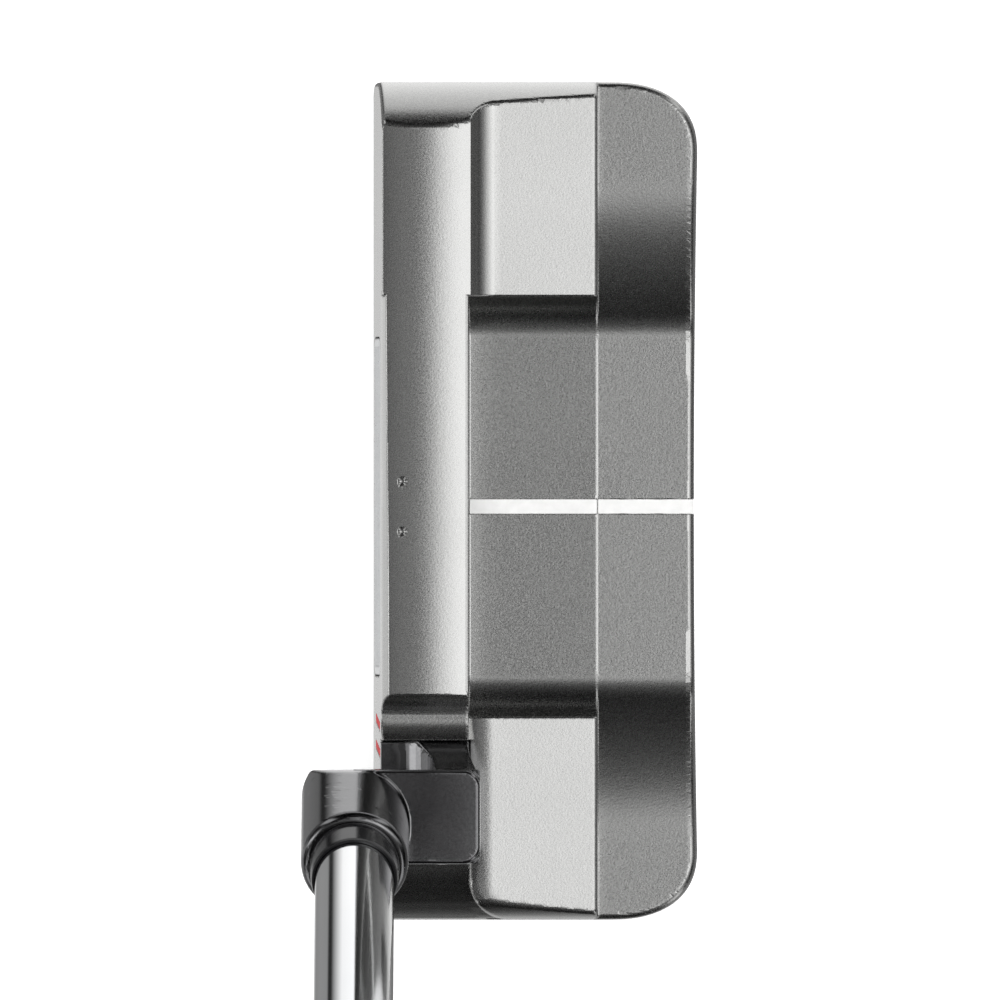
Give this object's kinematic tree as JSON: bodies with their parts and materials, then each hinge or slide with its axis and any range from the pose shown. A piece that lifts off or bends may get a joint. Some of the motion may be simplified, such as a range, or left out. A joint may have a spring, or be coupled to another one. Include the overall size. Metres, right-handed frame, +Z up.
{
  "type": "mallet putter",
  "caption": "Right-handed golf putter with a wide cavity-backed steel head, forward-offset plumber's neck, grooved face insert, steel shaft and rubber pistol grip.",
  "frame": {"origin": "on the flat of the sole, directly under the sight line and at the middle of the head's width from face to rear", "axes": "+X from the striking face to the rear edge, +Y from heel to toe, +Z up; the shaft leans 20 degrees from +Z towards -Y"},
  "size_m": [0.056, 0.3917, 0.8163],
  "materials": {
    "head_steel": "grainy bead-blasted satin",
    "insert_aluminium": "satin with milled horizontal grooves",
    "bond_pad": "matte",
    "red_paint": "satin paint fill",
    "white_paint": "satin paint fill",
    "weight_steel": "turned satin",
    "pale_nylon": "matte",
    "neck_steel": "smooth dark satin",
    "braze_filler": "satin",
    "ferrule_black": "polished",
    "epoxy": "cured resin",
    "shaft_chrome": "mirror plated",
    "grip_tape": "matte paper tape",
    "grip_rubber": "fine textured matte"
  },
  "bodies": {
    "root": {"head_body": "head_steel", "face_insert": "insert_aluminium", "insert_bond_pad": "bond_pad", "face_mark_1": "red_paint", "face_mark_2": "red_paint", "sight_line_front": "white_paint", "sight_line_rear": "white_paint", "weight_toe": "weight_steel", "weight_heel": "weight_steel", "washer_toe": "pale_nylon", "washer_heel": "pale_nylon", "neck": "neck_steel", "neck_braze": "braze_filler", "ferrule": "ferrule_black", "epoxy_sleeve": "epoxy", "tip_plug": "pale_nylon", "shaft": "shaft_chrome", "grip_tape": "grip_tape", "grip": "grip_rubber", "grip_cap": "grip_rubber"}
  },
  "joints": []
}
